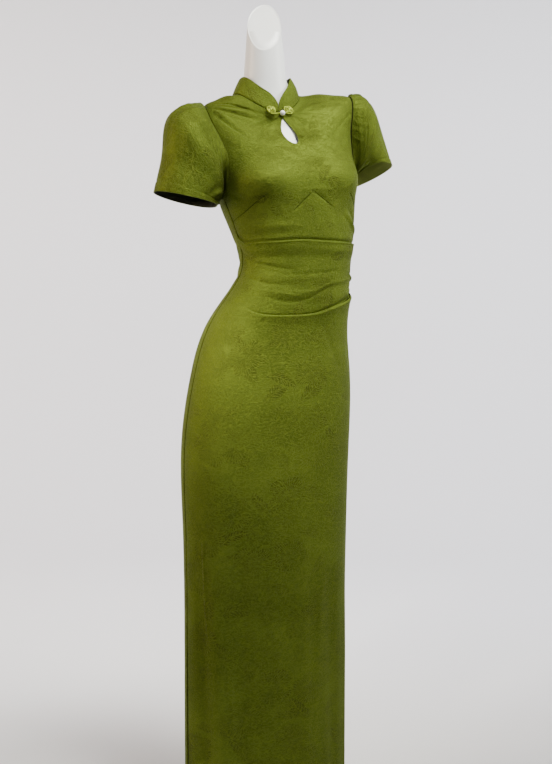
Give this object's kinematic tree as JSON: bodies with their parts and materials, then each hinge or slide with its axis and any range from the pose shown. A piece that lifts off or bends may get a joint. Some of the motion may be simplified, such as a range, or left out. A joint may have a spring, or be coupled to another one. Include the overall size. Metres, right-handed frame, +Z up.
{
  "type": "cheongsam dress on dress form",
  "caption": "Full-length fitted dress with stand collar, teardrop neck opening, puffed short sleeves and draped waist, on a limbless dress form with pole and round base",
  "frame": {"origin": "on the floor under the middle of the round base", "axes": "+Z up along the dress, the front faces -Y, the wearer's right is -X"},
  "size_m": [0.5285, 0.32, 1.6236],
  "materials": {
    "satin": "olive green satin jacquard with a soft sheen",
    "satin_cord": "satin-covered cord",
    "pearl": "imitation pearl",
    "form_shell": "smooth white shell",
    "steel": "brushed steel"
  },
  "bodies": {
    "root": {"front_bodice": "satin", "front_waist": "satin", "front_skirt": "satin", "back_right": "satin", "back_left": "satin", "collar": "satin", "sleeve_right": "satin", "sleeve_left": "satin", "frog_coil_right": "satin_cord", "frog_coil_left": "satin_cord", "pearl_button": "pearl", "form_body": "form_shell", "form_pole": "steel", "form_base": "steel"}
  },
  "joints": []
}
